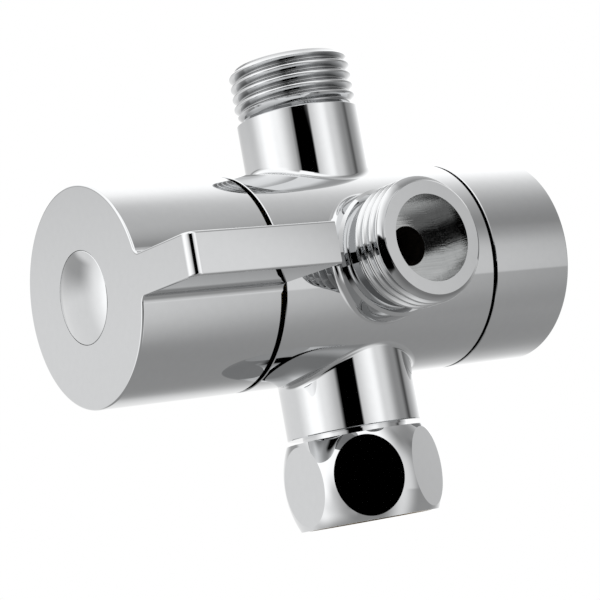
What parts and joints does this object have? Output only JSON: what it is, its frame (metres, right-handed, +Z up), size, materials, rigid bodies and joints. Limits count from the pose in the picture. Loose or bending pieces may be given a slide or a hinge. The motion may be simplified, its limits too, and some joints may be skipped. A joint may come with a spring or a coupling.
{
  "type": "shower diverter valve",
  "caption": "Chrome barrel valve with a swivel-nut inlet below, threaded outlets above and in front, and a lever knob on the left end that turns a ceramic-disc cartridge.",
  "frame": {"origin": "centre of the inlet nut's open end face, on the upright axis of the inlet and the top outlet", "axes": "+Z up through the top outlet, -Y out through the front outlet, +X along the barrel to the end cap"},
  "size_m": [0.0891, 0.0514, 0.0807],
  "materials": {
    "plated_brass": "polished chrome plate on brass",
    "plated_nut": "polished chrome plate on brass",
    "plated_zinc": "polished chrome plate on die-cast zinc",
    "plated_cover": "polished chrome plate",
    "bare_brass": "turned brass",
    "steel": "bright stainless steel",
    "disc_ceramic": "lapped alumina",
    "cartridge_plastic": "moulded acetal",
    "glide_plastic": "waxy white plastic",
    "seal_rubber": "moulded nitrile rubber"
  },
  "bodies": {
    "valve": {"valve_body": "plated_brass", "end_cap": "plated_brass", "end_cap_seal": "seal_rubber", "cartridge_housing": "cartridge_plastic", "cartridge_base": "cartridge_plastic", "base_seal": "seal_rubber", "disc_seal": "seal_rubber", "chamber_seal": "seal_rubber", "fixed_disc": "disc_ceramic", "thrust_washer": "glide_plastic", "retaining_nut": "bare_brass", "guide_ring": "glide_plastic", "nut_lock_ring": "steel"},
    "handle": {"knob": "plated_zinc", "screw_cover": "plated_cover", "handle_screw": "steel", "spline_insert": "bare_brass", "spindle": "bare_brass", "spindle_seals": "seal_rubber", "spindle_clip": "steel", "moving_disc": "disc_ceramic"},
    "inlet_union": {"swivel_nut": "plated_nut", "inlet_washer": "seal_rubber"}
  },
  "joints": [
    {"name": "lever_turn", "type": "hinge", "parent": "valve", "child": "handle", "pos_m": [-0.0363, 0, 0.0427], "axis": [-1, 0, 0], "range_deg": [0, 90]},
    {"name": "nut_swivel", "type": "hinge", "parent": "valve", "child": "inlet_union", "pos_m": [0, 0, 0.0074], "axis": [0, 0, 1], "continuous": true}
  ]
}
